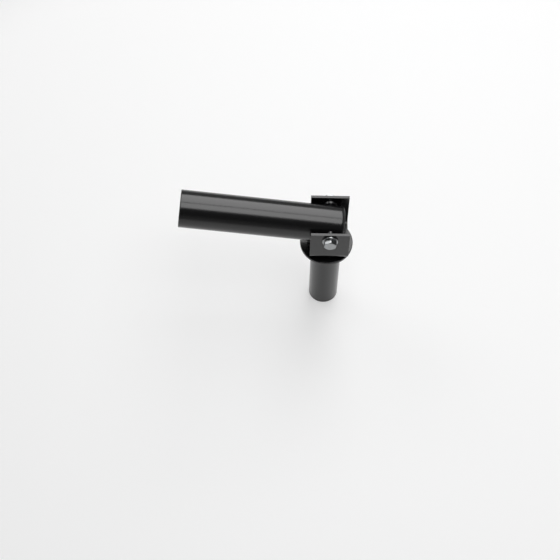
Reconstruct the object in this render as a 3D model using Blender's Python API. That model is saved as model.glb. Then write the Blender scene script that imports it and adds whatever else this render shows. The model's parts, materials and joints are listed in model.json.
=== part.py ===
"""Pivot attachment: a socket tube that tilts in a swivelling yoke on a post.

Frame: origin at the centre of the seat flange's underside, +Z up the post, the socket's mouth towards -X.
"""
from math import cos, hypot, pi, radians, sin, sqrt, tan

import bmesh
import bpy
from mathutils import Matrix, Vector

MM = 0.001

# Clearance between a piece and what it rests on or goes through
GAP = 0.3 * MM

# Post: the fixed part, a tube that stands in a 50 mm bore
POST_DIAMETER = 48.3 * MM
POST_WALL = 3.6 * MM
POST_LENGTH = 150 * MM
POST_WELD_DEPTH = 1.8 * MM
FLANGE_DIAMETER = 84 * MM
FLANGE_THICKNESS = 5 * MM
FLANGE_ROUNDING = 1.2 * MM
BUSH_LENGTH = 24 * MM
BUSH_CHAMFER = 1 * MM
FOOT_CAP_THICKNESS = 3.5 * MM
FOOT_CAP_DEPTH = 16 * MM
FOOT_CAP_WALL = 2.2 * MM

# Swivel between the post and the yoke
THRUST_THICKNESS = 0.8 * MM
THRUST_DIAMETER = 58 * MM
TURNTABLE_DIAMETER = 61 * MM
TURNTABLE_THICKNESS = 4.5 * MM
SPINDLE_DIAMETER = 20 * MM
SPINDLE_SHOULDER = 2 * MM
SPINDLE_ABOVE_FOOT = 37 * MM
SPINDLE_WASHER_OVERLAP = 5 * MM
SPINDLE_WASHER_THICKNESS = 3 * MM
WELD_LEG = 3 * MM
WELD_HALF_ANGLE = 24

# Yoke, bent from flat strip
YOKE_WIDTH = 60 * MM
YOKE_THICKNESS = 4.5 * MM
YOKE_BEND = 7 * MM
YOKE_OFFSET = 3.5 * MM
EAR_ABOVE_BOLT = 14 * MM
STRIP_EDGE = 0.5 * MM

# Sleeve: the socket tube, open at its mouth
SLEEVE_DIAMETER = 58 * MM
SLEEVE_WALL = 3 * MM
SLEEVE_REACH = 232 * MM
SLEEVE_BACK = 17 * MM
SLEEVE_DROP = 8.6 * MM
SLEEVE_TILT = 8.5
SLEEVE_EDGE = 0.6 * MM
SWING_CLEARANCE = 4.1 * MM
END_CAP_THICKNESS = 3 * MM
END_CAP_ROUNDING = 1.4 * MM
END_CAP_DEPTH = 5.5 * MM
END_CAP_WALL = 2 * MM

# Pivot bolt, its washer and the tube that it runs in, with play at both ends of that tube
BOLT_DIAMETER = 12 * MM
BOLT_HEAD_HEIGHT = 7.5 * MM
BOLT_HEAD_TURN = 23
BOLT_TIP = 1.5 * MM
BOLT_PLAY = 0.4 * MM
WASHER_THICKNESS = 2.5 * MM
CROSS_TUBE_WALL = 4.25 * MM
CROSS_TUBE_STAND_OFF = 0.1 * MM
CROSS_TUBE_CHAMFER = 0.6 * MM
SIDE_PLAY = 3.9 * MM

# Proportions of standard bolts, nuts and washers, per thread diameter
HEX_FLATS = 1.5
NUT_HEX_HEIGHT = 0.72
THIN_NUT_HEIGHT = 0.5
WASHER_OUTSIDE = 2

# Facets round a full turn
FINE = 64
MEDIUM = 48
COARSE = 32

# Worked out from the sizes above
FLANGE_TOP = FLANGE_THICKNESS
THRUST_BOTTOM = FLANGE_TOP + GAP
TURNTABLE_BOTTOM = THRUST_BOTTOM + THRUST_THICKNESS + GAP
TURNTABLE_TOP = TURNTABLE_BOTTOM + TURNTABLE_THICKNESS
BASE_BOTTOM = TURNTABLE_TOP + GAP
BASE_TOP = BASE_BOTTOM + YOKE_THICKNESS
POST_FOOT = FLANGE_TOP - POST_LENGTH
POST_BORE = POST_DIAMETER / 2 - POST_WALL
END_CORNER = hypot(SLEEVE_BACK + GAP + END_CAP_THICKNESS, SLEEVE_DROP + SLEEVE_DIAMETER / 2)
PIVOT_HEIGHT = BASE_TOP + END_CORNER + SWING_CLEARANCE
CROSS_TUBE_END = SLEEVE_DIAMETER / 2 + CROSS_TUBE_STAND_OFF
CROSS_TUBE_BORE = BOLT_DIAMETER / 2 + BOLT_PLAY
EAR_INSIDE = CROSS_TUBE_END + SIDE_PLAY
EAR_OUTSIDE = EAR_INSIDE + YOKE_THICKNESS
SPINDLE_THREAD = SPINDLE_DIAMETER - 2 * SPINDLE_SHOULDER
SPINDLE_TIP = POST_FOOT + SPINDLE_ABOVE_FOOT
SPINDLE_NUT_TOP = SPINDLE_TIP + 1.2 * SPINDLE_THREAD
SPINDLE_SHOULDER_HEIGHT = SPINDLE_NUT_TOP + GAP + SPINDLE_WASHER_THICKNESS

BLACK_COAT = ((0.013, 0.013, 0.014, 1), 0.34, 0.0)
ZINC = ((0.55, 0.56, 0.57, 1), 0.3, 1.0)
BLACK_PLASTIC = ((0.018, 0.018, 0.018, 1), 0.5, 0.0)
NYLON = ((0.6, 0.6, 0.56, 1), 0.5, 0.0)
BLUE_NYLON = ((0.05, 0.12, 0.4, 1), 0.45, 0.0)


def clear_scene():
    for thing in list(bpy.data.objects):
        bpy.data.objects.remove(thing, do_unlink=True)


def material(name, look):
    """Principled material with a colour, a roughness and a metallic value."""
    colour, roughness, metallic = look
    made = bpy.data.materials.new(name)
    made.use_nodes = True
    shader = made.node_tree.nodes["Principled BSDF"]
    shader.inputs["Base Color"].default_value = colour
    shader.inputs["Roughness"].default_value = roughness
    shader.inputs["Metallic"].default_value = metallic
    return made


def empty(name, location, rotation=(0, 0, 0), parent=None):
    """Empty that stands on a joint's axis."""
    made = bpy.data.objects.new(name, None)
    made.location = location
    made.rotation_euler = rotation
    made.parent = parent
    bpy.context.collection.objects.link(made)
    return made


def place(name, shape, look, parent, location=(0, 0, 0), rotation=(0, 0, 0)):
    """Object from a bmesh, with its own material when it has a look."""
    bmesh.ops.recalc_face_normals(shape, faces=shape.faces)
    mesh = bpy.data.meshes.new(name)
    shape.to_mesh(mesh)
    shape.free()
    mesh.shade_smooth()
    mesh.set_sharp_from_angle(angle=radians(30))
    made = bpy.data.objects.new(name, mesh)
    made.location = location
    made.rotation_euler = rotation
    made.parent = parent
    bpy.context.collection.objects.link(made)
    if look is None:
        made.hide_render = True
        made.display_type = "WIRE"
    else:
        mesh.materials.append(material(name, look))
    return made


def turned(profile, segments=MEDIUM, start=0.0, sweep=2 * pi):
    """Solid of revolution about Z from a closed outline of (radius, height) points."""
    shape = bmesh.new()
    turn = Matrix.Rotation(start, 3, "Z")
    points = [shape.verts.new(turn @ Vector((radius, 0, height))) for radius, height in profile]
    edges = [shape.edges.new((a, b)) for a, b in zip(points, points[1:] + points[:1])]
    if sweep < 2 * pi:
        face = shape.faces.new(points)
        bmesh.ops.spin(shape, geom=[face] + edges, axis=(0, 0, 1), cent=(0, 0, 0),
                       angle=sweep, steps=segments, use_duplicate=False)
        return shape
    bmesh.ops.spin(shape, geom=points + edges, axis=(0, 0, 1), cent=(0, 0, 0),
                   angle=sweep, steps=segments, use_duplicate=False)
    bmesh.ops.remove_doubles(shape, verts=shape.verts, dist=1e-7)
    bmesh.ops.dissolve_degenerate(shape, edges=shape.edges, dist=1e-7)
    return shape


def prism(outline, depth, axis):
    """Straight extrusion of a closed outline, centred on the plane that it is drawn in."""
    shape = bmesh.new()
    step = Vector(axis) * depth
    points = [shape.verts.new(Vector(point) - step / 2) for point in outline]
    face = shape.faces.new(points)
    grown = bmesh.ops.extrude_face_region(shape, geom=[face])
    moved = [item for item in grown["geom"] if isinstance(item, bmesh.types.BMVert)]
    bmesh.ops.translate(shape, verts=moved, vec=step)
    return shape


def arc(centre, radius, first, last, steps):
    """Points of an arc in degrees, ends included."""
    angles = [radians(first + (last - first) * index / steps) for index in range(steps + 1)]
    return [(centre[0] + radius * cos(angle), centre[1] + radius * sin(angle)) for angle in angles]


def ring_profile(inner, outer, bottom, top, edge=0.0):
    """Outline of a ring's section, its outer edges broken by a small chamfer."""
    if edge == 0.0:
        return [(inner, bottom), (outer, bottom), (outer, top), (inner, top)]
    return [(inner, bottom), (outer - edge, bottom), (outer, bottom + edge),
            (outer, top - edge), (outer - edge, top), (inner, top)]


def cut(target, cutter, operation="DIFFERENCE"):
    """Boolean between an object and a guide."""
    modifier = target.modifiers.new(operation.title() + " " + cutter.name, "BOOLEAN")
    modifier.operation = operation
    modifier.solver = "EXACT"
    modifier.object = cutter


def soften(target, width, segments=2, angle=50):
    """Bevel on the sharp edges."""
    modifier = target.modifiers.new("Rounded edges", "BEVEL")
    modifier.width = width
    modifier.segments = segments
    modifier.limit_method = "ANGLE"
    modifier.angle_limit = radians(angle)


def hexagon(flats, bottom, top):
    """Hexagonal prism along Z, a corner on +X."""
    radius = flats / sqrt(3)
    middle = (bottom + top) / 2
    corners = [(radius * cos(side * pi / 3), radius * sin(side * pi / 3), middle) for side in range(6)]
    return prism(corners, top - bottom, (0, 0, 1))


def chamfered_end(flats, bottom, top):
    """Guide that takes the corners off the top of a hexagon, as on a pressed bolt head."""
    corner = flats / sqrt(3)
    face = 0.47 * flats
    drop = (corner - face) * tan(radians(30))
    reach = 1.2 * corner
    shoulder = top - drop - (reach - corner) * tan(radians(30))
    return [(0, bottom - reach), (reach, bottom - reach), (reach, shoulder), (face, top), (0, top)]


def hex_bolt(name, look, parent, location, rotation, diameter, head, length):
    """Bolt whose shank runs along +Z from the head's underside, the head below it."""
    flats = HEX_FLATS * diameter
    end_chamfer = 0.08 * diameter
    radius = diameter / 2
    shank = turned([(0, -head / 2), (radius, -head / 2), (radius, length - end_chamfer),
                    (radius - end_chamfer, length), (0, length)], COARSE)
    bolt = place(name, shank, look, parent, location, rotation)
    block = place(name + "_head_guide", hexagon(flats, -head, 0), None, parent, location, rotation)
    barrel = turned(mirrored(chamfered_end(flats, 0, head)), COARSE)
    cut(block, place(name + "_chamfer_guide", barrel, None, parent, location, rotation), "INTERSECT")
    cut(bolt, block, "UNION")
    return bolt


def mirrored(profile):
    """Profile turned upside down, its order kept going the same way round."""
    return [(radius, -height) for radius, height in reversed(profile)]


def lock_nut(name, looks, parent, location, rotation, thread):
    """Nylon lock nut on the shank's +Z side, with its plastic ring as a piece of its own."""
    flats = HEX_FLATS * thread
    hex_height = NUT_HEX_HEIGHT * thread
    total = thread
    bore = thread / 2 + GAP
    collar = 0.46 * flats
    pocket = bore + 0.09 * thread
    lip = 0.06 * thread
    inside = total - lip
    nut = place(name, hexagon(flats, 0, hex_height), looks[0], parent, location, rotation)
    barrel = turned(chamfered_end(flats, 0, hex_height), COARSE)
    cut(nut, place(name + "_chamfer_guide", barrel, None, parent, location, rotation), "INTERSECT")
    crown = turned([(0, hex_height / 2), (collar, hex_height / 2), (collar, total - 2 * lip),
                    (collar - lip, total - lip / 2), (collar - 2 * lip, total), (0, total)], COARSE)
    cut(nut, place(name + "_collar_guide", crown, None, parent, location, rotation), "UNION")
    beyond = total + thread
    mouth = bore + lip / 2
    hollow = turned([(0, -thread), (bore, -thread), (bore, hex_height), (pocket, hex_height),
                     (pocket, inside), (mouth, inside), (mouth, beyond), (0, beyond)], COARSE)
    cut(nut, place(name + "_bore_guide", hollow, None, parent, location, rotation))
    ring = turned(ring_profile(bore, pocket - GAP, hex_height + GAP, inside - GAP), COARSE)
    place(name + "_insert", ring, looks[1], parent, location, rotation)


def thin_nut(name, look, parent, location, rotation, thread):
    """Thin hexagon nut on the shank's +Z side, its corners turned off at both ends."""
    flats = HEX_FLATS * thread
    height = THIN_NUT_HEIGHT * thread
    face = 0.47 * flats
    reach = 1.05 * flats / sqrt(3)
    slope = (reach - face) * tan(radians(30))
    nut = place(name, hexagon(flats, 0, height), look, parent, location, rotation)
    outline = [(0, 0), (face, 0), (reach, slope), (reach, height - slope), (face, height), (0, height)]
    barrel = turned(outline, COARSE)
    cut(nut, place(name + "_chamfer_guide", barrel, None, parent, location, rotation), "INTERSECT")
    bore = thread / 2 + GAP
    hollow = turned([(0, -thread), (bore, -thread), (bore, 2 * thread), (0, 2 * thread)], COARSE)
    cut(nut, place(name + "_bore_guide", hollow, None, parent, location, rotation))


def washer(name, parent, location, rotation, thread, diameter, thickness):
    """Plain zinc-plated washer that lies on +Z of its place."""
    edge = 0.15 * thickness
    profile = ring_profile(thread / 2 + GAP, diameter / 2, 0, thickness, edge)
    return place(name, turned(profile, COARSE), ZINC, parent, location, rotation)


def make_post():
    """Post tube, with the disc that it hangs from welded round its top end."""
    end = FLANGE_TOP - POST_WELD_DEPTH
    tube = turned(ring_profile(POST_BORE, POST_DIAMETER / 2, POST_FOOT, end), MEDIUM)
    place("post_tube", tube, BLACK_COAT, None)
    weld = turned([(POST_BORE, end + GAP), (POST_DIAMETER / 2, end + GAP), (POST_DIAMETER / 2, FLANGE_TOP),
                   (POST_BORE + 0.4 * POST_WALL, FLANGE_TOP)], MEDIUM)
    place("post_weld", weld, BLACK_COAT, None)
    edge = FLANGE_ROUNDING
    rim = FLANGE_DIAMETER / 2
    hole = POST_DIAMETER / 2 + GAP
    top_round = arc((rim - edge, FLANGE_TOP - edge), edge, 0, 90, 3)
    disc = turned([(hole, 0), (rim - edge / 2, 0), (rim, edge / 2)] + top_round + [(hole, FLANGE_TOP)], FINE)
    place("seat_flange", disc, BLACK_COAT, None)


def make_bushes():
    """Plastic bushes that centre the spindle in the post."""
    outer = POST_BORE - GAP
    inner = SPINDLE_DIAMETER / 2 + GAP
    bottoms = {"upper_bush": FLANGE_TOP - GAP - BUSH_LENGTH, "lower_bush": SPINDLE_SHOULDER_HEIGHT + GAP}
    for name, bottom in bottoms.items():
        ring = turned(ring_profile(inner, outer, bottom, bottom + BUSH_LENGTH, BUSH_CHAMFER), MEDIUM)
        place(name, ring, NYLON, None)


def make_foot_cap():
    """Domed plastic cap with a hollow plug, in the foot of the post."""
    rim = POST_DIAMETER / 2
    plug = POST_BORE - GAP
    shoulder = POST_FOOT - GAP
    bottom = shoulder - FOOT_CAP_THICKNESS
    top = POST_FOOT + FOOT_CAP_DEPTH
    inside = plug - FOOT_CAP_WALL
    lead = FOOT_CAP_WALL / 2
    rounding = 0.7 * FOOT_CAP_THICKNESS
    corner = arc((rim - rounding, bottom + rounding), rounding, -90, 0, 4)
    wall = [(plug, shoulder), (plug, top - lead), (plug - lead, top), (inside, top), (inside, POST_FOOT)]
    profile = [(0, bottom)] + corner + [(rim, shoulder)] + wall + [(0, POST_FOOT)]
    place("post_foot_cap", turned(profile, MEDIUM), BLACK_PLASTIC, None)


def make_turntable(swivel):
    """Thrust washer and the round plate that the yoke is welded to."""
    hole = SPINDLE_DIAMETER / 2 + GAP
    thrust = ring_profile(hole, THRUST_DIAMETER / 2, THRUST_BOTTOM, THRUST_BOTTOM + THRUST_THICKNESS)
    place("thrust_washer", turned(thrust, MEDIUM), BLACK_PLASTIC, swivel)
    plate = ring_profile(hole, TURNTABLE_DIAMETER / 2, TURNTABLE_BOTTOM, TURNTABLE_TOP, STRIP_EDGE)
    place("turntable", turned(plate, FINE), BLACK_COAT, swivel)


def yoke_outline():
    """Section of the bent strip as (y, z) points, along its inside and back along its outside."""
    ear_top = PIVOT_HEIGHT + EAR_ABOVE_BOLT
    inner_centre = EAR_INSIDE - YOKE_BEND
    bend_height = BASE_TOP + YOKE_BEND
    outer = YOKE_BEND + YOKE_THICKNESS
    inside = [(EAR_INSIDE, ear_top)] + arc((inner_centre, bend_height), YOKE_BEND, 0, -90, 6)
    inside += arc((-inner_centre, bend_height), YOKE_BEND, -90, -180, 6) + [(-EAR_INSIDE, ear_top)]
    outside = [(-EAR_OUTSIDE, ear_top)] + arc((-inner_centre, bend_height), outer, 180, 270, 8)
    outside += arc((inner_centre, bend_height), outer, -90, 0, 8) + [(EAR_OUTSIDE, ear_top)]
    return inside + outside


def make_yoke(swivel, pivot):
    """U of flat strip with a bolt hole in each ear and the spindle's hole in its base."""
    outline = [(YOKE_OFFSET, y, z) for y, z in yoke_outline()]
    yoke = place("yoke", prism(outline, YOKE_WIDTH, (1, 0, 0)), BLACK_COAT, swivel)
    soften(yoke, STRIP_EDGE)
    clearance = BOLT_DIAMETER / 2 + GAP
    reach = EAR_OUTSIDE + YOKE_THICKNESS
    drill = turned([(0, -reach), (clearance, -reach), (clearance, reach), (0, reach)], COARSE)
    cut(yoke, place("bolt_hole_guide", drill, None, pivot, (0, 0, 0), (pi / 2, 0, 0)))
    hole = SPINDLE_DIAMETER / 2 + GAP
    below = BASE_BOTTOM - YOKE_THICKNESS
    above = BASE_TOP + YOKE_THICKNESS
    bore = turned([(0, below), (hole, below), (hole, above), (0, above)], COARSE)
    cut(yoke, place("spindle_hole_guide", bore, None, swivel))


def weld_section(x, z, leg, rise):
    """Section of a fillet weld, from its corner outwards and up or down, its face a little full."""
    middle = 0.58 * leg
    return [(x, z), (x + leg, z), (x + middle, z + rise * middle), (x, z + rise * leg)]


def side_weld(name, swivel, side, edge):
    """Bead along the base where the turntable stands out from under it, else round the turntable's rim."""
    rim = TURNTABLE_DIAMETER / 2
    facing = 0 if side > 0 else pi
    overhang = rim - edge - GAP
    if overhang > 0:
        leg = min(WELD_LEG, 0.8 * overhang)
        half_length = sqrt(rim ** 2 - (edge + GAP + leg) ** 2)
        section = [(side * x, 0, z) for x, z in weld_section(edge + GAP, TURNTABLE_TOP + GAP, leg, 1)]
        bead = prism(section, 2 * half_length, (0, 1, 0))
    else:
        half_angle = radians(WELD_HALF_ANGLE)
        section = weld_section(rim + GAP, BASE_BOTTOM - GAP, WELD_LEG, -1)
        bead = turned(section, 12, facing - half_angle, 2 * half_angle)
    place(name, bead, BLACK_COAT, swivel)


def make_welds(swivel):
    """Beads that join the yoke to the turntable, one on each open side."""
    side_weld("yoke_weld_left", swivel, -1, YOKE_WIDTH / 2 - YOKE_OFFSET)
    side_weld("yoke_weld_right", swivel, 1, YOKE_WIDTH / 2 + YOKE_OFFSET)


def make_spindle(swivel):
    """Pin from the yoke's base down through both bushes, with its washer and nut."""
    radius = SPINDLE_DIAMETER / 2
    thread = SPINDLE_THREAD / 2
    lead = SPINDLE_SHOULDER / 2
    profile = [(0, SPINDLE_TIP), (thread - lead, SPINDLE_TIP), (thread, SPINDLE_TIP + lead),
               (thread, SPINDLE_SHOULDER_HEIGHT), (radius, SPINDLE_SHOULDER_HEIGHT),
               (radius, BASE_TOP - lead), (radius - lead, BASE_TOP), (0, BASE_TOP)]
    place("spindle", turned(profile, COARSE), ZINC, swivel)
    down = (pi, 0, 0)
    washer("spindle_washer", swivel, (0, 0, SPINDLE_SHOULDER_HEIGHT), down, SPINDLE_THREAD,
           SPINDLE_DIAMETER + 2 * SPINDLE_WASHER_OVERLAP, SPINDLE_WASHER_THICKNESS)
    lock_nut("spindle_nut", (ZINC, BLUE_NYLON), swivel, (0, 0, SPINDLE_NUT_TOP), down, SPINDLE_THREAD)


def make_pivot_bolt(pivot):
    """Cross bolt: head and washer on the front ear, a thin nut on the rear one."""
    outer_seat = EAR_OUTSIDE + GAP
    head_seat = outer_seat + WASHER_THICKNESS + GAP
    length = head_seat + outer_seat + THIN_NUT_HEIGHT * BOLT_DIAMETER + BOLT_TIP
    back = (-pi / 2, 0, 0)
    turned_back = (-pi / 2, -radians(BOLT_HEAD_TURN), 0)
    hex_bolt("pivot_bolt", ZINC, pivot, (0, -head_seat, 0), turned_back, BOLT_DIAMETER, BOLT_HEAD_HEIGHT,
             length)
    washer("pivot_head_washer", pivot, (0, -outer_seat - WASHER_THICKNESS, 0), back, BOLT_DIAMETER,
           WASHER_OUTSIDE * BOLT_DIAMETER, WASHER_THICKNESS)
    thin_nut("pivot_nut", ZINC, pivot, (0, outer_seat, 0), back, BOLT_DIAMETER)


def make_sleeve(tilt):
    """Socket tube with the cross tube that the bolt runs in and the cap on its closed end."""
    outer = SLEEVE_DIAMETER / 2
    inner = outer - SLEEVE_WALL
    edge = SLEEVE_EDGE
    wall = [(inner, edge - SLEEVE_BACK), (inner + edge, -SLEEVE_BACK), (outer - edge, -SLEEVE_BACK),
            (outer, edge - SLEEVE_BACK), (outer, SLEEVE_REACH - edge), (outer - edge, SLEEVE_REACH),
            (inner + edge, SLEEVE_REACH), (inner, SLEEVE_REACH - edge)]
    tube = place("sleeve_tube", turned(wall, FINE), BLACK_COAT, tilt, (0, 0, -SLEEVE_DROP), (0, -pi / 2, 0))
    across = (pi / 2, 0, 0)
    radius = CROSS_TUBE_BORE + CROSS_TUBE_WALL
    hole = radius + GAP
    drill = turned([(0, -2 * outer), (hole, -2 * outer), (hole, 2 * outer), (0, 2 * outer)], COARSE)
    cut(tube, place("cross_tube_hole_guide", drill, None, tilt, (0, 0, 0), across))
    cross = ring_profile(CROSS_TUBE_BORE, radius, -CROSS_TUBE_END, CROSS_TUBE_END, CROSS_TUBE_CHAMFER)
    place("pivot_cross_tube", turned(cross, COARSE), BLACK_COAT, tilt, (0, 0, 0), across)


def make_end_cap(tilt):
    """Plastic cap with a rounded rim and a hollow plug."""
    rim = SLEEVE_DIAMETER / 2
    plug = rim - SLEEVE_WALL - GAP
    inside = plug - END_CAP_WALL
    seat = -SLEEVE_BACK - GAP
    end = seat - END_CAP_THICKNESS
    rounding = END_CAP_ROUNDING
    corner = arc((rim - rounding, end + rounding), rounding, -90, 0, 4)
    deep = seat + END_CAP_DEPTH
    profile = [(0, end)] + corner + [(rim, seat), (plug, seat), (plug, deep),
                                     (inside, deep), (inside, seat), (0, seat)]
    place("sleeve_end_cap", turned(profile, FINE), BLACK_PLASTIC, tilt, (0, 0, -SLEEVE_DROP), (0, -pi / 2, 0))


def build():
    clear_scene()
    swivel = empty("yoke_swivel", (0, 0, 0))
    pivot = empty("pivot_axis", (YOKE_OFFSET, 0, PIVOT_HEIGHT), parent=swivel)
    tilt = empty("sleeve_tilt", (0, 0, 0), (0, radians(SLEEVE_TILT), 0), parent=pivot)
    make_post()
    make_bushes()
    make_foot_cap()
    make_turntable(swivel)
    make_yoke(swivel, pivot)
    make_welds(swivel)
    make_spindle(swivel)
    make_pivot_bolt(pivot)
    make_sleeve(tilt)
    make_end_cap(tilt)


build()
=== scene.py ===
# %% [markdown]
# A pivot attachment for strength training. Its post stands in a 50 mm bore, a fork turns on top
# of the post, and a socket tube tilts between the fork's ears. The solid model gives each piece
# its size and place. Here each piece is modelled again as it is made, turned, bent, drilled and
# welded, and gets its real finish.

# %% The frame
import json
from math import asin, cos, pi, radians, sin, sqrt, tan

import bmesh
import bpy
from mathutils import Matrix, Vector


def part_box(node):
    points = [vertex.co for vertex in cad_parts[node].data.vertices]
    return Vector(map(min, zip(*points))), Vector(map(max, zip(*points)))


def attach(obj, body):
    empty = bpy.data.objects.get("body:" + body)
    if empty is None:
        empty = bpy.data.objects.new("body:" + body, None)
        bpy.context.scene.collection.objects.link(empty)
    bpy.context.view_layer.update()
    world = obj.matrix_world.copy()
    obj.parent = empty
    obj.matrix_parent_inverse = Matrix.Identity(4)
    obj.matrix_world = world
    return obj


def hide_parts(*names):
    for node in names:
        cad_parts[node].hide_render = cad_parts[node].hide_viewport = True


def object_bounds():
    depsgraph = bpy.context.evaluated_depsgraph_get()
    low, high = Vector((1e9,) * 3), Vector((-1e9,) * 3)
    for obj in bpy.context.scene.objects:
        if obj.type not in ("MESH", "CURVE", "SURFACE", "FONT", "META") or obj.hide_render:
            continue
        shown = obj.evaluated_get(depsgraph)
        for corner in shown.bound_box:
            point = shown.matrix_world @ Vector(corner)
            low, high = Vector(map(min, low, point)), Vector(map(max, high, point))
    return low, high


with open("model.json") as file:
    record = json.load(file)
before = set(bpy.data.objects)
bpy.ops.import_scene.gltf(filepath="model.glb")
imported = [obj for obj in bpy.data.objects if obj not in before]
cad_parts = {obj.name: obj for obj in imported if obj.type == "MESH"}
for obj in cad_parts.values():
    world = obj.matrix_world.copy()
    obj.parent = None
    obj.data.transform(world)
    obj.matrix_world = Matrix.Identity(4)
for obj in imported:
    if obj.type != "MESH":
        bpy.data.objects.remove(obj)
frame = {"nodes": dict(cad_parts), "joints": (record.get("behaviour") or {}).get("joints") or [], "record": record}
cad_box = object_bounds()
print("solid model from", cad_box[0], "to", cad_box[1])

# %% [markdown]
# Sizes of pieces are written in millimetres, because drawings of such a product are, and MM turns
# them to metres. The pivot's place comes from the solid model's own hinge, and the way the socket
# points from the mount at its mouth. It rests tilted up by 8.5 degrees, and its middle line passes
# a little under the pivot.

# %% Units and the pivot
MM = 0.001
hinges = {joint["name"]: joint for joint in frame["joints"]}
mounts = {mount["name"]: mount for mount in frame["record"]["mounts"]}
pivot = Vector(hinges["sleeve_tilt"]["pos_m"])
socket_way = Vector(mounts["sleeve_mouth"]["axis"]).normalized()
socket_up = Vector((0, 1, 0)).cross(socket_way)
socket_tilt = asin(socket_way.z)
socket_drop = 8.6
socket_foot = pivot - socket_up * socket_drop * MM
print("pivot at", pivot, "socket points", socket_way)

# %% [markdown]
# Round pieces are made standing on end, because a lathe and a drill are simplest along Z. These
# turns then lay them along the bolt, with their top end at the rear or at the front, set them
# upside down, or lay them along the socket with their top end at its mouth.

# %% Turns
TO_REAR, TO_FRONT, UPSIDE_DOWN = (-pi / 2, 0, 0), (pi / 2, 0, 0), (pi, 0, 0)
ALONG_SOCKET = (0, socket_tilt - pi / 2, 0)
print("the socket is laid over by", ALONG_SOCKET[1], "radians")

# %% [markdown]
# The camera is described as a photographer would: how far round it stands, how high over the
# horizon it looks from, and how far away it is. This helper gives its three directions.

# %% Camera directions
def look_from(azimuth, elevation):
    """Directions right, up and back of a camera that looks along +Y at azimuth 0."""
    back = Vector((sin(azimuth) * cos(elevation), -cos(azimuth) * cos(elevation), sin(elevation)))
    right = Vector((cos(azimuth), sin(azimuth), 0))
    return right, back.cross(right), back


right, up, back = look_from(radians(1.3), radians(58.87))
print("camera's back points to", back)

# %% [markdown]
# The camera looks down at almost 59 degrees from the horizon and nearly square to the bolt, about
# a metre and a half away. The pivot stands right of the middle of the picture and above it, so the
# camera is moved sideways instead of turned.

# %% Camera
frame_pixels = 560
focal_pixels = 1000
sensor_width = 36
pivot_pixel = (330.1, 220.7)
camera_distance = 1545 * MM
across = (pivot_pixel[0] - frame_pixels / 2) / focal_pixels * camera_distance
above = (frame_pixels / 2 - pivot_pixel[1]) / focal_pixels * camera_distance
camera = bpy.data.objects.new("camera", bpy.data.cameras.new("camera"))
bpy.context.scene.collection.objects.link(camera)
camera.data.sensor_width = sensor_width
camera.data.lens = sensor_width * focal_pixels / frame_pixels
camera.location = pivot - right * across - up * above + back * camera_distance
camera.rotation_euler = back.to_track_quat("Z", "Y").to_euler()
bpy.context.scene.camera = camera
print("camera at", camera.location)

# %% [markdown]
# Materials are made of nodes. Their colours are picked as the hex values that a painter would
# write down, but Blender works in linear light, so one helper turns them round.

# %% Colour helper
def colour(code):
    """Linear colour of an sRGB hex value such as #1A2B3C."""
    parts = [int(code[place:place + 2], 16) / 255 for place in (1, 3, 5)]
    return [part / 12.92 if part < 0.04045 else ((part + 0.055) / 1.055) ** 2.4
            for part in parts] + [1]


print("#808080 is", round(colour("#808080")[0], 3), "in linear light")

# %% [markdown]
# One helper adds a node with its settings and links. It takes a node's sockets by name, or by
# number where several share a name: a Mix node of colours takes them at 6 and 7 and gives the
# mixture at 2. A pattern is known by the size of one wave, and a Noise node wants the waves in a
# metre. Its value hardly ever leaves the range from 0.3 to 0.7.

# %% Node helpers
MIX_FROM, MIX_TO, MIX_RESULT = 6, 7, 2
NOISE_LOW, NOISE_HIGH = 0.3, 0.7


def add_node(tree, kind, inputs=None, **settings):
    """Adds a node, sets its properties, and fills each socket given with a value or a link."""
    node = tree.nodes.new(kind)
    for setting, value in settings.items():
        setattr(node, setting, value)
    for socket, value in (inputs or {}).items():
        if isinstance(value, bpy.types.NodeSocket):
            tree.links.new(value, node.inputs[socket])
        else:
            node.inputs[socket].default_value = value
    return node


def new_material(name):
    """Empty material with an output and the object's own coordinates, in metres."""
    material = bpy.data.materials.new(name)
    material.use_nodes = True
    tree = material.node_tree
    tree.nodes.clear()
    output = add_node(tree, "ShaderNodeOutputMaterial")
    place = add_node(tree, "ShaderNodeTexCoord").outputs["Object"]
    return material, tree, output, place


def waves(size_mm):
    """Scale of a Noise node whose waves have that size."""
    return 1000 / size_mm


print("waves of 0.5 mm need the scale", waves(0.5))

# %% [markdown]
# The black metal is powder coat: resin dust baked on steel. It melts into a skin with a faint
# orange peel, waves about a millimetre and a half across and a few thousandths deep, so a lamp's
# reflection keeps its shape but its edge is soft. The grit that dulls it is finer than 0.35 mm on
# the real coat, and is drawn that coarse to show in a close view.

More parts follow.
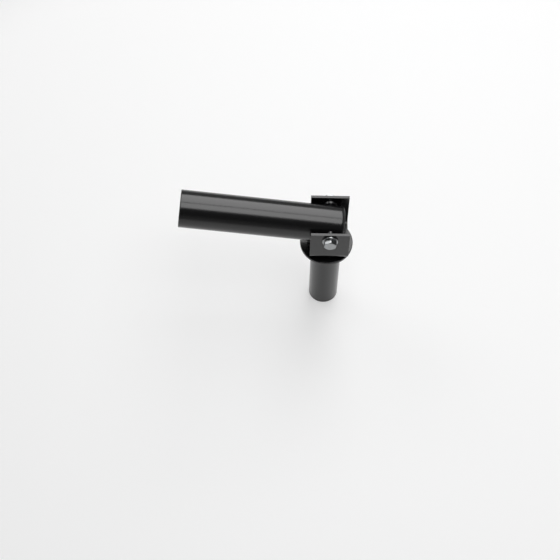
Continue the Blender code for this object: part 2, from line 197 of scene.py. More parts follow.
# %% Powder coat
def powder_coat(name, peel_mm=1.6, grit_mm=0.35, cloud_mm=45, shine=0.2):
    material, tree, output, place = new_material(name)
    peel = add_node(tree, "ShaderNodeTexNoise", {
        "Vector": place, "Scale": waves(peel_mm), "Detail": 2.0})
    grit = add_node(tree, "ShaderNodeTexNoise", {
        "Vector": place, "Scale": waves(grit_mm), "Detail": 3.0})
    cloud = add_node(tree, "ShaderNodeTexNoise", {
        "Vector": place, "Scale": waves(cloud_mm), "Detail": 3.0})
    tint = add_node(tree, "ShaderNodeMix", {
        "Factor": cloud.outputs["Fac"], MIX_FROM: colour("#0D0D0E"), MIX_TO: colour("#131314")},
        data_type="RGBA")
    gloss = add_node(tree, "ShaderNodeMapRange", {
        "Value": grit.outputs["Fac"], "From Min": NOISE_LOW, "From Max": NOISE_HIGH,
        "To Min": shine - 0.03, "To Max": shine + 0.05})
    dents = add_node(tree, "ShaderNodeBump", {
        "Height": peel.outputs["Fac"], "Strength": 0.25, "Distance": 0.02 * MM})
    shader = add_node(tree, "ShaderNodeBsdfPrincipled", {
        "Base Color": tint.outputs[MIX_RESULT], "Roughness": gloss.outputs["Result"],
        "IOR": 1.55, "Normal": dents.outputs["Normal"]})
    tree.links.new(shader.outputs["BSDF"], output.inputs["Surface"])
    return material


coat = powder_coat("powder_coat_on_steel")
print("made", coat.name)

# %% [markdown]
# A weld bead gets the same coat, but spatter and the bead's own ripples make it rougher, and the
# coat pools in them, so its peel is finer and its shine is duller.

# %% Coat on welds
weld_coat = powder_coat("powder_coat_on_weld", peel_mm=0.7, shine=0.3)
print("made", weld_coat.name)

# %% [markdown]
# Bolt, nut and washers are steel with bright zinc plating. It is a metal with a cool, slightly
# bluish white. The pieces are tumbled in a drum with hundreds of others, so fine scratches run
# every way and the shine changes from place to place. The scratches are drawn about a millimetre
# apart, coarser than the real ones, so that they show.

# %% Zinc plating
def zinc_plate(name, scratch_mm=1.1, stain_mm=6):
    material, tree, output, place = new_material(name)
    streaks = add_node(tree, "ShaderNodeMapping", {"Vector": place, "Scale": (1, 1, 5)})
    scratches = add_node(tree, "ShaderNodeTexNoise", {
        "Vector": streaks.outputs["Vector"], "Scale": waves(scratch_mm), "Detail": 5.0,
        "Roughness": 0.7})
    stains = add_node(tree, "ShaderNodeTexNoise", {
        "Vector": place, "Scale": waves(stain_mm), "Detail": 2.0})
    tint = add_node(tree, "ShaderNodeMix", {
        "Factor": stains.outputs["Fac"], MIX_FROM: colour("#A6A9AC"), MIX_TO: colour("#929392")},
        data_type="RGBA")
    gloss = add_node(tree, "ShaderNodeMapRange", {
        "Value": scratches.outputs["Fac"], "From Min": NOISE_LOW, "From Max": NOISE_HIGH,
        "To Min": 0.2, "To Max": 0.36})
    dents = add_node(tree, "ShaderNodeBump", {
        "Height": scratches.outputs["Fac"], "Strength": 0.3, "Distance": 0.02 * MM})
    shader = add_node(tree, "ShaderNodeBsdfPrincipled", {
        "Base Color": tint.outputs[MIX_RESULT], "Metallic": 1.0,
        "Roughness": gloss.outputs["Result"], "Normal": dents.outputs["Normal"]})
    tree.links.new(shader.outputs["BSDF"], output.inputs["Surface"])
    return material


zinc = zinc_plate("bright_zinc_plate")
print("made", zinc.name)

# %% [markdown]
# The caps are injection-moulded polyethylene. The mould is spark-eroded, which prints a fine grain
# of about a third of a millimetre on them and spreads the shine. The bushes and the lock nut's
# ring are nylon, waxy and smoother.

# %% Plastics
def plastic(name, light, dark, grain_mm, depth, shine, cloud_mm=20):
    material, tree, output, place = new_material(name)
    grain = add_node(tree, "ShaderNodeTexNoise", {
        "Vector": place, "Scale": waves(grain_mm), "Detail": 2.0})
    cloud = add_node(tree, "ShaderNodeTexNoise", {
        "Vector": place, "Scale": waves(cloud_mm), "Detail": 2.0})
    tint = add_node(tree, "ShaderNodeMix", {
        "Factor": cloud.outputs["Fac"], MIX_FROM: colour(dark), MIX_TO: colour(light)},
        data_type="RGBA")
    gloss = add_node(tree, "ShaderNodeMapRange", {
        "Value": grain.outputs["Fac"], "From Min": NOISE_LOW, "From Max": NOISE_HIGH,
        "To Min": shine - 0.05, "To Max": shine + 0.05})
    dents = add_node(tree, "ShaderNodeBump", {
        "Height": grain.outputs["Fac"], "Strength": 0.4, "Distance": depth})
    shader = add_node(tree, "ShaderNodeBsdfPrincipled", {
        "Base Color": tint.outputs[MIX_RESULT], "Roughness": gloss.outputs["Result"],
        "IOR": 1.51, "Normal": dents.outputs["Normal"]})
    tree.links.new(shader.outputs["BSDF"], output.inputs["Surface"])
    return material


cap_plastic = plastic("moulded_black_polyethylene", light="#161616", dark="#111111",
                      grain_mm=0.35, depth=0.02 * MM, shine=0.42)
bush_plastic = plastic("turned_natural_nylon", light="#D9D6C8", dark="#CFCBBB",
                       grain_mm=0.8, depth=0.01 * MM, shine=0.45)
ring_plastic = plastic("moulded_blue_nylon", light="#2C55A0", dark="#274A8E",
                       grain_mm=0.5, depth=0.01 * MM, shine=0.4)
print("made", cap_plastic.name, bush_plastic.name, ring_plastic.name)

# %% [markdown]
# Next come the modelling helpers. Operators act on everything that is selected, so each step first
# selects nothing. A finished piece has its place in its mesh and its object at the origin, as the
# solid model's nodes have, so each turn and move is applied to the mesh straight away.

# %% Helpers to select and place
def select_only(piece=None):
    """Leaves edit mode, and selects that piece or nothing."""
    if bpy.context.object and bpy.context.object.mode == "EDIT":
        bpy.ops.object.mode_set(mode="OBJECT")
    bpy.ops.object.select_all(action="DESELECT")
    if piece:
        piece.select_set(True)
        bpy.context.view_layer.objects.active = piece


def named(name):
    """The piece that an operator has just added, with its name."""
    piece = bpy.context.active_object
    piece.name = name
    piece.data.name = name
    return piece


def apply_place(piece):
    """Moves the object's place, turn and scale into its mesh."""
    select_only(piece)
    bpy.ops.object.transform_apply(location=True, rotation=True, scale=True)
    return piece


def set_in_place(piece, turn=(0, 0, 0), place=(0, 0, 0)):
    piece.rotation_euler = turn
    piece.location = place
    return apply_place(piece)


print("pieces can be selected, named and placed")

# %% [markdown]
# In edit mode one would click the faces or edges to work on. A script finds them by where they
# are, so this helper tests the middle of each one.

# %% Helper to pick faces and edges
def pick(piece, kind, test):
    """In edit mode, selects only the edges or faces whose middle passes the test."""
    bpy.ops.mesh.select_mode(type=kind)
    bpy.ops.mesh.select_all(action="DESELECT")
    mesh = bmesh.from_edit_mesh(piece.data)
    for item in mesh.edges if kind == "EDGE" else mesh.faces:
        middle = sum((vertex.co for vertex in item.verts), Vector()) / len(item.verts)
        if test(middle):
            item.select_set(True)
    mesh.select_flush_mode()
    bmesh.update_edit_mesh(piece.data)


CLOSE = 0.01
print("faces within", CLOSE, "mm of a plane count as on it")

# %% [markdown]
# Modifiers do the rest and are applied, so that the finished mesh holds their result. A Boolean drills and cuts.
# Weighted normals keep the large flat faces flat while the rounded edges between them shade as round, as on real
# machined metal.

# %% Helpers for modifiers
def apply_all(piece):
    """Applies the piece's modifiers in their order."""
    select_only(piece)
    for modifier in list(piece.modifiers):
        bpy.ops.object.modifier_apply(modifier=modifier.name)
    return piece


def carve(piece, tool, operation="DIFFERENCE"):
    """Cuts the tool out of a piece, or keeps only what they share, and removes the tool."""
    cut = piece.modifiers.new("Cut", "BOOLEAN")
    cut.operation = operation
    cut.solver = "EXACT"
    cut.object = tool
    apply_all(piece)
    bpy.data.objects.remove(tool)
    return piece


def smooth(piece, angle=40):
    """Shades edges softer than the angle as round, and lets large flat faces stay flat."""
    select_only(piece)
    bpy.ops.object.shade_smooth_by_angle(angle=radians(angle))
    flats = piece.modifiers.new("Flats stay flat", "WEIGHTED_NORMAL")
    flats.keep_sharp = True
    flats.weight = 50
    return apply_all(piece)


print("pieces can be cut and smoothed")

# %% [markdown]
# Each finished piece is told its material and the body that it moves with: the post, the yoke that
# turns on it, or the sleeve that tilts. Where it stands for a solid of the model, that is hidden.

# %% Helper to finish a piece
def finish_piece(piece, body, finish, slot, *nodes):
    """Gives the piece its finish, its body, and the solid nodes that it stands for."""
    piece.data.materials.clear()
    piece.data.materials.append(finish)
    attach(piece, body)
    if nodes:
        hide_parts(*nodes)
    print(piece.name, len(piece.data.polygons), "faces, rides on", body)


# %% [markdown]
# Most pieces here are turned on a lathe. Their outline is written as on a drawing, corner by
# corner, each with its radius, height and rounding. A real edge is never knife sharp, so this
# helper puts a small arc at each corner that has a rounding.

# %% Rounding helper
def rounded_outline(corners, steps):
    """Points as (radius, height) in metres, from corners as (radius, height, rounding) in mm."""
    outline = []
    for index, (radius, height, rounding) in enumerate(corners):
        corner = Vector((radius, height))
        if rounding == 0:
            outline.append(corner * MM)
            continue
        before = (Vector(corners[index - 1][:2]) - corner).normalized()
        after = (Vector(corners[(index + 1) % len(corners)][:2]) - corner).normalized()
        half = before.angle(after) / 2
        centre = corner + (before + after).normalized() * rounding / sin(half)
        first = corner + before * rounding / tan(half) - centre
        last = corner + after * rounding / tan(half) - centre
        outline += [(centre + first.slerp(last, step / steps) * rounding) * MM
                    for step in range(steps + 1)]
    return outline


sample = rounded_outline([(5, 0, 0), (9, 0, 1), (9, 3, 0)], steps=4)
print("one rounded corner and two sharp ones make", len(sample), "points")

# %% [markdown]
# To turn a piece by hand, one draws a circle at the outline's first point, then extrudes and
# scales it from point to point. A ring is closed by a bridge from the last circle to the first,
# and a solid piece is filled at both ends.

# %% Lathe helpers
def turn_on_lathe(name, corners, closed=True, segments=128, steps=4):
    """Piece turned about Z. A closed outline makes a ring, an open one is filled at both ends."""
    select_only()
    outline = rounded_outline(corners, steps)
    bpy.ops.mesh.primitive_circle_add(vertices=segments, radius=outline[0].x,
                                      location=(0, 0, outline[0].y))
    piece = apply_place(named(name))
    bpy.ops.object.mode_set(mode="EDIT")
    bpy.ops.mesh.select_mode(type="EDGE")
    bpy.ops.mesh.select_all(action="SELECT")
    for here, there in zip(outline, outline[1:]):
        rise, grow = there.y - here.y, there.x / here.x
        bpy.ops.mesh.extrude_region_move(TRANSFORM_OT_translate={"value": (0, 0, rise)})
        bpy.ops.transform.resize(value=(grow, grow, 1), center_override=(0, 0, 0))
    bpy.ops.mesh.select_all(action="DESELECT")
    bpy.ops.mesh.select_non_manifold()
    if closed:
        bpy.ops.mesh.bridge_edge_loops()
    else:
        bpy.ops.mesh.fill_holes(sides=0)
    bpy.ops.mesh.select_all(action="SELECT")
    bpy.ops.mesh.normals_make_consistent(inside=False)
    bpy.ops.object.mode_set(mode="OBJECT")
    return smooth(piece)


def turn_ring(name, bore, radius, foot, top, roundings, segments=128):
    """Plain ring. Its roundings go round its section, from the foot's inner corner outwards."""
    corners = zip((bore, radius, radius, bore), (foot, foot, top, top), roundings)
    return turn_on_lathe(name, list(corners), segments=segments)


print("pieces can be turned")

# %% [markdown]
# The post is a steel tube with the seat flange welded round its top. The flange is laser-cut
# plate, so its edges are only broken, with a little more rounding on top, where it shows. Both are
# plain rings.

# %% Post and flange
post = turn_ring("post", bore=20.55, radius=24.15, foot=-145, top=3.2, roundings=(0.4, 0.6, 0, 0))
finish_piece(post, "post", coat, "black_coat", "post_tube")
flange = turn_ring("flange", bore=24.45, radius=42, foot=0, top=5, roundings=(0, 0.5, 1.2, 0),
                   segments=192)
finish_piece(flange, "post", coat, "black_coat", "seat_flange")

# %% [markdown]
# The foot of the post is closed with a moulded cap. Its visible face has a rounded rim, a shallow
# ring and the small dimple that the mould's gate leaves in the middle. Its plug is a thin sleeve
# inside the tube. A lathe can't scale a circle up from nothing, so the outline of a solid piece
# starts and ends 0.3 mm from the middle.

# %% Foot cap
CORE = 0.3
cap_face = [(CORE, -148.5, 0), (2.2, -148.5, 0.3), (2.8, -148.8, 0.3), (17.5, -148.8, 0.4),
            (18.2, -148.4, 0.3), (19.4, -148.4, 0.3), (20.1, -148.75, 0.3)]
cap_rim = [(24.15, -148.6, 2.2), (24.15, -145.3, 0.3), (20.25, -145.3, 0)]
cap_plug = [(20.25, -130, 0.8), (18.05, -129, 0.5), (18.05, -145, 0.6), (CORE, -145, 0)]
foot_cap = turn_on_lathe("foot_cap", cap_face + cap_rim + cap_plug, closed=False)
finish_piece(foot_cap, "post", cap_plastic, "black_plastic", "post_foot_cap")

# %% [markdown]
# Between the flange and the fork's round plate lies a thin plastic washer, which lets the fork
# turn. The round plate is laser-cut too. The pin welded in it goes down the post, with a shoulder
# for its washer, and its top end is ground flush with the fork's base.

# %% Slip washer, swivel plate and pin
pin_hole = 10.3
slip_washer = turn_ring("slip_washer", bore=pin_hole, radius=29, foot=5.3, top=6.1,
                        roundings=(0.1, 0.2, 0.2, 0.1))
finish_piece(slip_washer, "yoke", cap_plastic, "black_plastic", "thrust_washer")
plate_radius = 30.5
swivel_plate = turn_ring("swivel_plate", bore=pin_hole, radius=plate_radius, foot=6.4, top=10.9,
                         roundings=(0, 0.6, 0.6, 0), segments=160)
finish_piece(swivel_plate, "yoke", coat, "black_coat", "turntable")
pin_radius, thread_radius, pin_top = 10, 8, 15.7
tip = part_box("spindle")[0].z / MM
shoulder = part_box("spindle_washer")[1].z / MM
pin = turn_on_lathe("swivel_pin", [
    (CORE, tip, 0), (thread_radius - 1, tip, 0), (thread_radius, tip + 1, 0),
    (thread_radius, shoulder, 0.2), (pin_radius, shoulder, 0.3), (pin_radius, pin_top, 0.6),
    (CORE, pin_top, 0)], closed=False, segments=64)
finish_piece(pin, "yoke", zinc, "zinc", "spindle")

# %% [markdown]
# The fork is one strip of 4.5 mm steel bent to a U. By hand it starts as the flat base, each end
# face is spun round the bend's axis by a quarter turn and then pulled straight up as an ear. The
# bend keeps the strip's thickness, which a bevelled box would not.

# %% Fork
fork_x = pivot.x
fork_width, strip = 60 * MM, 4.5 * MM
ear_inside, bend = 33 * MM, 7 * MM
base_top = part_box("yoke")[0].z + strip
ear_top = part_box("yoke")[1].z
flat_half = ear_inside - bend
select_only()
bpy.ops.mesh.primitive_cube_add(size=1, location=(fork_x, 0, base_top - strip / 2))
fork = named("fork")
fork.scale = (fork_width, 2 * flat_half, strip)
apply_place(fork)
bpy.ops.object.mode_set(mode="EDIT")
for side in (1, -1):
    pick(fork, "FACE", lambda middle: side * middle.y > flat_half - CLOSE * MM)
    bpy.ops.mesh.spin(steps=16, angle=-side * pi / 2, axis=(1, 0, 0),
                      center=(fork_x, side * flat_half, base_top + bend))
    bpy.ops.mesh.extrude_region_move(
        TRANSFORM_OT_translate={"value": (0, 0, ear_top - base_top - bend)})
bpy.ops.mesh.select_mode(type="FACE")
bpy.ops.mesh.select_all(action="DESELECT")
bpy.ops.mesh.select_interior_faces()
bpy.ops.mesh.delete(type="FACE")
bpy.ops.mesh.select_all(action="SELECT")
bpy.ops.mesh.remove_doubles(threshold=0.001 * MM)
bpy.ops.mesh.normals_make_consistent(inside=False)
bpy.ops.object.mode_set(mode="OBJECT")
print("fork is bent,", len(fork.data.polygons), "faces")

# %% [markdown]
# The ears are drilled in one go for the bolt, and the base for the pin. Only then is the strip's
# edge broken, so that the holes get it too. A bevel limited by angle leaves the bend's small steps
# alone.

# %% Fork holes and edges
def drill(name, radius, length, turn=(0, 0, 0), place=(0, 0, 0)):
    """Cylinder to cut a hole with, in millimetres, about its middle."""
    select_only()
    bpy.ops.mesh.primitive_cylinder_add(vertices=96, radius=radius * MM, depth=length * MM)
    return set_in_place(named(name), turn, place)


bolt_hole = 6.3
carve(fork, drill("bolt_drill", bolt_hole, 120, TO_FRONT, pivot))
carve(fork, drill("pin_drill", pin_hole, 20, place=(0, 0, base_top)))
edge = fork.modifiers.new("Broken edge", "BEVEL")
edge.width = 0.5 * MM
edge.segments = 3
edge.limit_method = "ANGLE"
edge.angle_limit = radians(50)
apply_all(fork)
smooth(fork, 30)
finish_piece(fork, "yoke", coat, "black_coat", "yoke")

# %% [markdown]
# A weld bead is a row of small overlapping pools of metal. Each pool is a squashed ball about a
# millimetre from the next, and a fine voxel remesh melts them into one skin with the ripples left
# in. Two waves out of step change their sizes a little, because no two pools come out alike.

# %% Weld helper
def lay_weld(name, seam, size, melt_mm=0.22):
    """Bead of balls of about that size at each point of the seam, in metres, melted together."""
    select_only()
    pools = []
    for index, point in enumerate(seam):
        swell = 1 + 0.07 * sin(2.3 * index) + 0.04 * sin(5.1 * index + 1)
        bpy.ops.mesh.primitive_uv_sphere_add(segments=20, ring_count=12, radius=size * swell,
                                             location=point)
        pools.append(bpy.context.active_object)
    for pool in pools:
        pool.select_set(True)
    bpy.context.view_layer.objects.active = pools[0]
    bpy.ops.object.join()
    bead = apply_place(named(name))
    skin = bead.modifiers.new("Melt", "REMESH")
    skin.mode = "VOXEL"
    skin.voxel_size = melt_mm * MM
    ease = bead.modifiers.new("Ease", "SMOOTH")
    ease.factor = 0.5
    ease.iterations = 2
    apply_all(bead)
    return smooth(bead, 80)


print("beads can be laid")

# %% [markdown]
# The fork's base is narrower than the round plate on the left, so there the bead lies on the plate
# along the base. On the right the base reaches past the plate, and the bead runs under it round
# the plate's rim.

# %% Fork welds
edge_x = fork_x - fork_width / 2 - 0.3 * MM
seam = [Vector((edge_x, (step - 6) * MM, 11.6 * MM)) for step in range(13)]
weld_left = lay_weld("fork_weld_left", seam, 1.7 * MM)
finish_piece(weld_left, "yoke", weld_coat, "black_coat", "yoke_weld_left")
rim = (plate_radius + 0.4) * MM
angles = [radians(degrees) for degrees in range(-23, 25, 2)]
seam = [Vector((rim * cos(angle), rim * sin(angle), 10.2 * MM)) for angle in angles]
weld_right = lay_weld("fork_weld_right", seam, 1.4 * MM)
finish_piece(weld_right, "yoke", weld_coat, "black_coat", "yoke_weld_right")

# %% [markdown]
# The socket is a tube of 58 mm with a 3 mm wall. It is turned upright with its mouth on top, with
# extra rings where the pivot crosses it, so that the drilled holes have small faces round them and
# shade cleanly. Its sawn closed end only has its edges broken, and its mouth is rounded.

# %% Socket tube
outer, inner, reach, behind = 29, 26, 232, -17
by_pivot, to_mouth = range(behind + 3, 26, 2), range(40, reach - 6, 20)
closed_end = [(inner, behind + 0.6, 0), (inner + 0.5, behind, 0), (outer - 0.5, behind, 0),
              (outer, behind + 0.6, 0)]
outside = [(outer, height, 0) for height in (*by_pivot, *to_mouth)]
mouth = [(outer, reach - 5, 0), (outer, reach, 1.0), (inner, reach, 1.0), (inner, reach - 5, 0)]
inside = [(inner, height, 0) for height in (*to_mouth[-2::-1], *by_pivot[::-1])]
socket = turn_on_lathe("socket", closed_end + outside + mouth + inside, segments=160, steps=5)
set_in_place(socket, ALONG_SOCKET, socket_foot)
print("socket is", reach - behind, "mm long,", len(socket.data.polygons), "faces")

# %% [markdown]
# Two holes in the socket's walls take the cross tube. The front one is smaller, because the tube
# is turned thin there, so each wall is drilled on its own.

# %% Socket holes
for name, side, radius in (("front_drill", -1, 7.3), ("cross_drill", 1, 8.3)):
    wall = pivot + Vector((0, side * 25 * MM, 0))
    carve(socket, drill(name, radius, 40, TO_FRONT, wall))
smooth(socket, 35)
finish_piece(socket, "sleeve", coat, "black_coat", "sleeve_tube")

# %% [markdown]
# A short tube crosses the socket and carries it on the bolt. Its front end is turned thin, and its
# rear end has a collar that keeps the socket off the ear.

# %% Cross tube
tube_bore = 6.4
cross_tube = turn_on_lathe("cross_tube", [
    (tube_bore, -28.8, 0.1), (7, -28.8, 0.3), (7, -17, 0.2), (8, -17, 0.3), (8, 24.9, 0.2),
    (11.4, 24.9, 0.6), (11.4, 29.1, 0.8), (tube_bore, 29.1, 0.4)], segments=96)
set_in_place(cross_tube, TO_REAR, pivot)
finish_piece(cross_tube, "sleeve", coat, "black_coat", "pivot_cross_tube")

# %% [markdown]
# The cross tube is welded to the socket on the inside. The seam goes round the tube and follows
# the socket's round wall, so the depth of each point comes from the wall's circle.

# %% Cross tube's welds
for name, side, radius in (("cross_weld_front", -1, 7.6), ("cross_weld_rear", 1, 8.6)):
    seam = []
    for step in range(60):
        angle = 2 * pi * step / 60
        along, rise = radius * cos(angle), radius * sin(angle)
        depth = sqrt(inner ** 2 - (rise + socket_drop) ** 2) - 0.3
        seam.append(pivot + socket_way * along * MM + socket_up * rise * MM
                    + Vector((0, side * depth * MM, 0)))
    weld = lay_weld(name, seam, 1.5 * MM)
    finish_piece(weld, "sleeve", weld_coat, "black_coat")

# %% [markdown]
# The socket's closed end has a moulded cap: a flat disc with a faint ring on its face, a rounded
# rim and a thin plug inside the tube. It is turned with the socket's own heights, so the same turn
# and place bring it home.

# %% Socket cap
cap_face = [(CORE, -20.0, 0), (2, -20.0, 0.2), (2.6, -20.3, 0.2), (22.5, -20.3, 0.4),
            (23.1, -20.0, 0.2), (24.1, -20.0, 0.2), (24.7, -20.3, 0.2)]
cap_rim = [(28.8, -20.3, 2.6), (28.8, -17.3, 0.2), (25.7, -17.3, 0)]
cap_plug = [(25.7, -11.8, 0.5), (23.7, -11.8, 0.4), (23.7, -17.3, 0.5), (CORE, -17.3, 0)]
socket_cap = turn_on_lathe("socket_cap", cap_face + cap_rim + cap_plug, closed=False,
                           segments=160)
set_in_place(socket_cap, ALONG_SOCKET, socket_foot)
finish_piece(socket_cap, "sleeve", cap_plastic, "black_plastic", "sleeve_end_cap")

# %% [markdown]
# A stamped washer lies under the bolt's head. The punch rolls one side over and leaves the other
# crisp, so the roundings of its two sides differ.

# %% Washer
washer = turn_ring("washer_under_head", bore=bolt_hole, radius=12, foot=0, top=2.5,
                   roundings=(0.15, 0.25, 0.7, 0.3), segments=96)
set_in_place(washer, TO_FRONT, (pivot.x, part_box("pivot_head_washer")[1].y, pivot.z))
finish_piece(washer, "yoke", zinc, "zinc", "pivot_head_washer")

# %% [markdown]
# A bolt head and a nut start as hexagonal bar. The corners are turned off at thirty degrees, which
# leaves a curved edge on each flat. The same cone cuts both, so it is a helper.

# %% Hexagon helpers
def corner_cone(flats, height):
    """Cone, wider than the bar, that keeps all but the corners at its top."""
    wide, top = 1.5 * flats / sqrt(3), 0.47 * flats
    slope = (wide - top) * tan(radians(30))
    return turn_on_lathe("corner_cone", [
        (CORE, -5, 0), (wide, -5, 0), (wide, height - slope, 0), (top, height, 0.3),
        (CORE, height, 0)], closed=False)


def hexagon_block(name, flats, height, turn):
    """Hexagonal bar end on the ground plane, its top corners turned off."""
    select_only()
    bpy.ops.mesh.primitive_cylinder_add(vertices=6, radius=flats / sqrt(3) * MM,
                                        depth=height * MM, location=(0, 0, height / 2 * MM),
                                        rotation=(0, 0, turn))
    return carve(apply_place(named(name)), corner_cone(flats, height), "INTERSECT")


flats = 18
print("the hexagons are", flats, "mm across their flats")

# %% [markdown]
# A rolled thread is a ridge that winds round the shank. Its section is drawn once, nearly as wide
# as the pitch, and narrowed towards its crest. The Screw modifier then winds it up.

# %% Thread helper
def wind_thread(name, radius, depth, pitch, turns, start):
    """Helical ridge round Z whose crest is at the radius."""
    select_only()
    bpy.ops.mesh.primitive_plane_add(
        size=1, location=((radius - depth / 2) * MM, 0, start * MM), rotation=(pi / 2, 0, 0))
    ridge = named(name)
    ridge.scale = (depth * MM, 0.92 * pitch * MM, 1)
    apply_place(ridge)
    bpy.ops.object.mode_set(mode="EDIT")
    pick(ridge, "EDGE", lambda middle: middle.x > (radius - CLOSE) * MM)
    bpy.ops.transform.resize(value=(1, 1, 0.14), center_override=(radius * MM, 0, start * MM))
    bpy.ops.mesh.select_all(action="SELECT")
    bpy.ops.mesh.delete(type="ONLY_FACE")
    bpy.ops.object.mode_set(mode="OBJECT")
    wind = ridge.modifiers.new("Wind", "SCREW")
    wind.axis = "Z"
    wind.screw_offset = pitch * MM
    wind.iterations = turns
    wind.steps = wind.render_steps = 48
    apply_all(ridge)
    bpy.ops.object.mode_set(mode="EDIT")
    bpy.ops.mesh.select_all(action="SELECT")
    bpy.ops.mesh.fill_holes(sides=0)
    bpy.ops.mesh.select_all(action="SELECT")
    bpy.ops.mesh.normals_make_consistent(inside=False)
    bpy.ops.object.mode_set(mode="OBJECT")
    return smooth(ridge, 30)


print("threads can be wound")

# %% [markdown]
# The pivot bolt has its head on the near ear, a plain shank through both, and a rolled thread at
# the far end that stands a little out of the nut. A bolt of 12 mm has 1.75 mm between the turns of
# its thread. Each part is made on its own, upright and with the underside of the head at zero.

# %% Parts of the bolt
bolt_low, bolt_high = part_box("pivot_bolt")
head_height, shank, thread_root, run_in = 7.5, 6, 5.15, 0.9
bolt_length = (bolt_high.y - bolt_low.y) / MM - head_height
thread_start = bolt_length - 21.4
bolt = hexagon_block("cross_bolt", flats, head_height, radians(-7))
set_in_place(bolt, UPSIDE_DOWN)
bolt_shank = turn_on_lathe("bolt_shank", [
    (CORE, -1, 0), (7.4, -1, 0), (7.4, 0.0, 0), (shank, 0.01, 0), (shank, thread_start, 0.1),
    (thread_root, thread_start + run_in, 0.1), (thread_root, bolt_length - 0.3, 0.25),
    (CORE, bolt_length, 0)], closed=False, segments=96)
bolt_thread = wind_thread("bolt_thread", radius=5.98, depth=1.05, pitch=1.75, turns=10,
                          start=thread_start + run_in)
print("bolt is", bolt_length, "mm long under its head")

# %% [markdown]
# Head, shank and thread are one piece of steel, so they are joined, and then laid along the pivot.

# %% Pivot bolt
select_only(bolt)
bolt_shank.select_set(True)
bolt_thread.select_set(True)
bpy.ops.object.join()
set_in_place(bolt, TO_REAR, (pivot.x, bolt_low.y + head_height * MM, pivot.z))
smooth(bolt, 30)
finish_piece(bolt, "yoke", zinc, "zinc", "pivot_bolt")

# %% [markdown]
# The nut at the far end is a thin one, half as high as the bolt is thick. Both its sides have
# their corners turned off, so it is turned over and goes through the same cone once more.

# %% Nut
nut_height = 6
nut = hexagon_block("cross_nut", flats, nut_height, pi / 6)
set_in_place(nut, UPSIDE_DOWN, (0, 0, nut_height * MM))
carve(nut, corner_cone(flats, nut_height), "INTERSECT")
carve(nut, drill("nut_bore", bolt_hole, 40))
set_in_place(nut, TO_REAR, (pivot.x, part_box("pivot_nut")[0].y, pivot.z))
smooth(nut, 25)
finish_piece(nut, "yoke", zinc, "zinc", "pivot_nut")

# %% [markdown]
# What is shut inside the post keeps the solid model's own shape: two bushes, the pin's washer and
# lock nut, and the weld round the post's top. They only get their finishes.

# %% Hidden pieces
finishes = {"upper_bush": bush_plastic, "lower_bush": bush_plastic, "post_weld": weld_coat,
            "spindle_washer": zinc, "spindle_nut": zinc, "spindle_nut_insert": ring_plastic}
for node, finish in finishes.items():
    mesh = frame["nodes"][node].data
    mesh.materials.clear()
    mesh.materials.append(finish)
    print(node, "keeps its shape and is", finish.name)

# %% [markdown]
# The post stands on a pale floor with matt paint. More than a metre away, outside the picture, its colour is
# painted grey. This is painted shade that stands in for the light falling off far from the lamps, because a pale
# floor up to the horizon would mirror as a light line along the socket's top. For rays from the camera, and from
# metal that mirrors the floor, it glows a little in its own colour. That makes it whiter without more light on the
# object.

# %% Floor paint
def matt_paint(name, near, far, glow):
    material, tree, output, place = new_material(name)
    dust = add_node(tree, "ShaderNodeTexNoise", {
        "Vector": place, "Scale": waves(3), "Detail": 2.0})
    rough = add_node(tree, "ShaderNodeMapRange", {
        "Value": dust.outputs["Fac"], "To Min": 0.8, "To Max": 0.9})
    away = add_node(tree, "ShaderNodeVectorMath", {0: place}, operation="LENGTH")
    # Painted shade: the floor's colour turns from the near pale to the far grey with distance from the middle,
    # standing in for light falling off far from the lamps.
    painted_far_shade = add_node(tree, "ShaderNodeMapRange", {
        "Value": away.outputs["Value"], "From Min": 0.85, "From Max": 1.5},
        interpolation_type="SMOOTHSTEP")
    paint = add_node(tree, "ShaderNodeMix", {
        "Factor": painted_far_shade.outputs["Result"], MIX_FROM: colour(near), MIX_TO: colour(far)},
        data_type="RGBA")
    shader = add_node(tree, "ShaderNodeBsdfPrincipled", {
        "Base Color": paint.outputs[MIX_RESULT], "Roughness": rough.outputs["Result"],
        "Specular IOR Level": 0.1})
    rays = add_node(tree, "ShaderNodeLightPath").outputs
    direct = add_node(tree, "ShaderNodeMath", {
        0: rays["Is Camera Ray"], 1: rays["Is Glossy Ray"]}, operation="ADD")
    seen = add_node(tree, "ShaderNodeMath", {
        0: direct.outputs["Value"], 1: rays["Is Transmission Ray"]},
        operation="ADD", use_clamp=True)
    share = add_node(tree, "ShaderNodeMath", {
        0: seen.outputs["Value"], 1: glow}, operation="MULTIPLY")
    shine = add_node(tree, "ShaderNodeEmission", {
        "Color": paint.outputs[MIX_RESULT], "Strength": 1.0})
    both = add_node(tree, "ShaderNodeMixShader", {
        0: share.outputs["Value"], 1: shader.outputs["BSDF"], 2: shine.outputs["Emission"]})
    tree.links.new(both.outputs["Shader"], output.inputs["Surface"])
    return material


floor_paint = matt_paint("pale_floor_paint", near="#FBFBFB", far="#B4B4B4", glow=0.45)
print("made", floor_paint.name)

# %% [markdown]
# The floor is one large plane, a hair under the post's foot so that the two don't flicker. It isn't part of the
# object.

# %% Floor
select_only()
bpy.ops.mesh.primitive_plane_add(size=30, location=(0, 0, cad_box[0].z - 0.1 * MM))
floor = apply_place(named("floor"))
floor.data.materials.append(floor_paint)
print("floor at", floor.data.vertices[0].co.z)

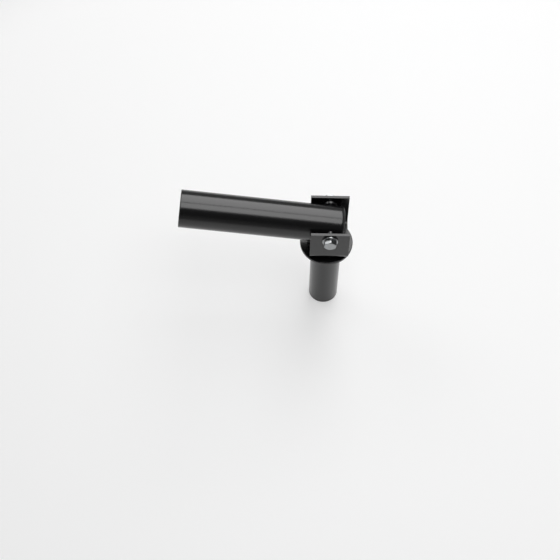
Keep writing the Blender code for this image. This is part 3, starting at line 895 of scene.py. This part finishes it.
# %% [markdown]
# Two soft panels hang two metres up, one behind the other with a narrow slit between them. They
# mirror as the light band along the socket's top, and the slit as the faint darker line in it. A
# smaller, weaker panel on the left shows in the upper left of the bolt's head and in the fork's
# left edges. An area lamp faces down as it is made, so the panels need no turn.

# %% Lamps
def soft_panel(name, place, size, radiance):
    """Level rectangular lamp of that brightness, where 1 is white."""
    lamp = bpy.data.objects.new(name, bpy.data.lights.new(name, "AREA"))
    bpy.context.scene.collection.objects.link(lamp)
    lamp.data.shape = "RECTANGLE"
    lamp.data.size, lamp.data.size_y = size
    lamp.data.energy = radiance * pi * size[0] * size[1]
    lamp.location = place
    lamp.visible_camera = False
    print(name, "shines with", round(lamp.data.energy, 1), "watts")


panel_height = 2.0
soft_panel("rear_panel", (0.42, 1.80, panel_height), size=(1.4, 3.16), radiance=3.6)
soft_panel("front_panel", (0.42, -0.48, panel_height), size=(1.4, 1.16), radiance=3.6)
soft_panel("left_panel", (-2.1, 1.7, panel_height), size=(1.7, 1.7), radiance=2.4)

# %% [markdown]
# The world round the object is mid grey behind it and low down, where it meets the floor. It is
# dark higher up in front, which keeps the socket's lower side black. Both greys fade softly, by
# the direction in which a ray leaves.

# %% Grey world
world = bpy.data.worlds.new("grey_room")
bpy.context.scene.world = world
world.use_nodes = True
tree = world.node_tree
way = add_node(tree, "ShaderNodeTexCoord").outputs["Generated"]
parts = add_node(tree, "ShaderNodeSeparateXYZ", {"Vector": way})
behind_it = add_node(tree, "ShaderNodeMapRange", {
    "Value": parts.outputs["Y"], "From Min": -0.2, "From Max": 1.0},
    interpolation_type="SMOOTHSTEP")
low_down = add_node(tree, "ShaderNodeMapRange", {
    "Value": parts.outputs["Z"], "From Min": 0.4, "From Max": 0.0},
    interpolation_type="SMOOTHSTEP")
pale = add_node(tree, "ShaderNodeMath", {
    0: behind_it.outputs["Result"], 1: low_down.outputs["Result"]}, operation="MAXIMUM")
grey = add_node(tree, "ShaderNodeMapRange", {
    "Value": pale.outputs["Value"], "To Min": 0.07, "To Max": 0.25})
tree.links.new(grey.outputs["Result"], tree.nodes["Background"].inputs["Color"])
bpy.context.scene.view_settings.view_transform = "Standard"
print("world has", len(tree.nodes), "nodes")
